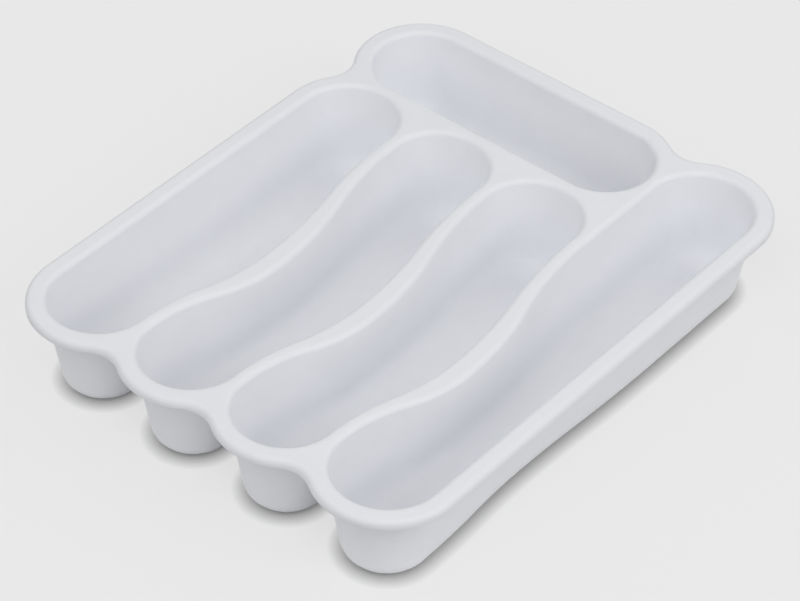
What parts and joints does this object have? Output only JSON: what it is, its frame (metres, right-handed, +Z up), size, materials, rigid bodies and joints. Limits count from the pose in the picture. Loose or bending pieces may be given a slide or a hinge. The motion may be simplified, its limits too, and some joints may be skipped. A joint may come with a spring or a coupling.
{
  "type": "cutlery tray",
  "caption": "Moulded plastic cutlery tray with long wavy-sided compartments, one across the rear, a rolled scalloped rim and an open top.",
  "frame": {"origin": "on the surface that the tray stands on, under the middle of its rim", "axes": "+X to the right across the long compartments, +Y from their front ends to the rear compartment, +Z up"},
  "size_m": [0.2692, 0.3352, 0.056],
  "materials": {
    "tray_plastic": "smooth satin injection moulding in cool white"
  },
  "bodies": {
    "root": {"left_compartment": "tray_plastic", "centre_left_compartment": "tray_plastic", "centre_right_compartment": "tray_plastic", "full_length_compartment": "tray_plastic", "rear_compartment": "tray_plastic", "rim_deck": "tray_plastic"}
  },
  "joints": []
}
